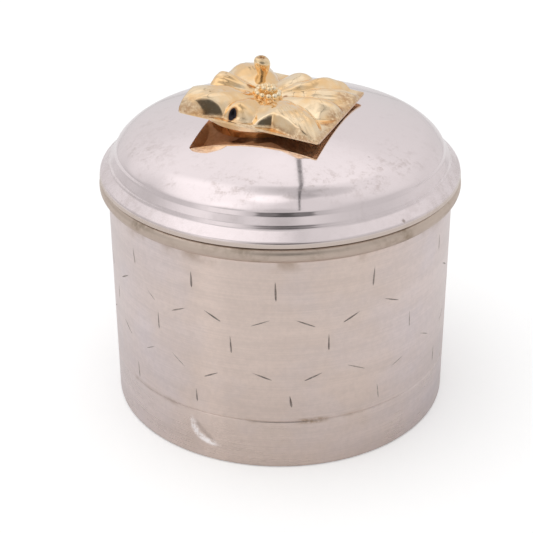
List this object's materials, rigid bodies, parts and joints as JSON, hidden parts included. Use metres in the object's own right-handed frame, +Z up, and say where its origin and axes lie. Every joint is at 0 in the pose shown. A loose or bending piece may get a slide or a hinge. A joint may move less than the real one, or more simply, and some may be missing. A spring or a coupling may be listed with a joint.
{
  "type": "kumkum box",
  "caption": "Small round silver box for kumkum powder, with engraved sides, a plug-in domed lid that lifts off and a gilt stamped flower as its grip.",
  "frame": {"origin": "middle of the underside, on the surface the box stands on", "axes": "+Z up along the axis of the drum, -Y towards the viewer of the picture"},
  "size_m": [0.042, 0.042, 0.0405],
  "materials": {
    "satin_silver": "silver, brushed round the drum",
    "polished_silver": "silver, polished",
    "gilt": "gold plated, bright",
    "white_metal": "plain"
  },
  "bodies": {
    "drum": {"body_wall": "satin_silver", "base_disc": "satin_silver", "mouth_bead": "polished_silver"},
    "lid": {"lid_dome": "polished_silver", "lid_collar": "polished_silver", "flower_seat": "gilt", "flower_plate": "gilt", "flower_boss": "gilt", "flower_bud": "gilt", "flower_stud": "white_metal", "stud_washer": "white_metal", "stud_nut": "white_metal"}
  },
  "joints": [
    {"name": "lid_lift", "type": "slide", "parent": "drum", "child": "lid", "axis": [0, 0, 1], "range_m": [0, 0.05]}
  ]
}
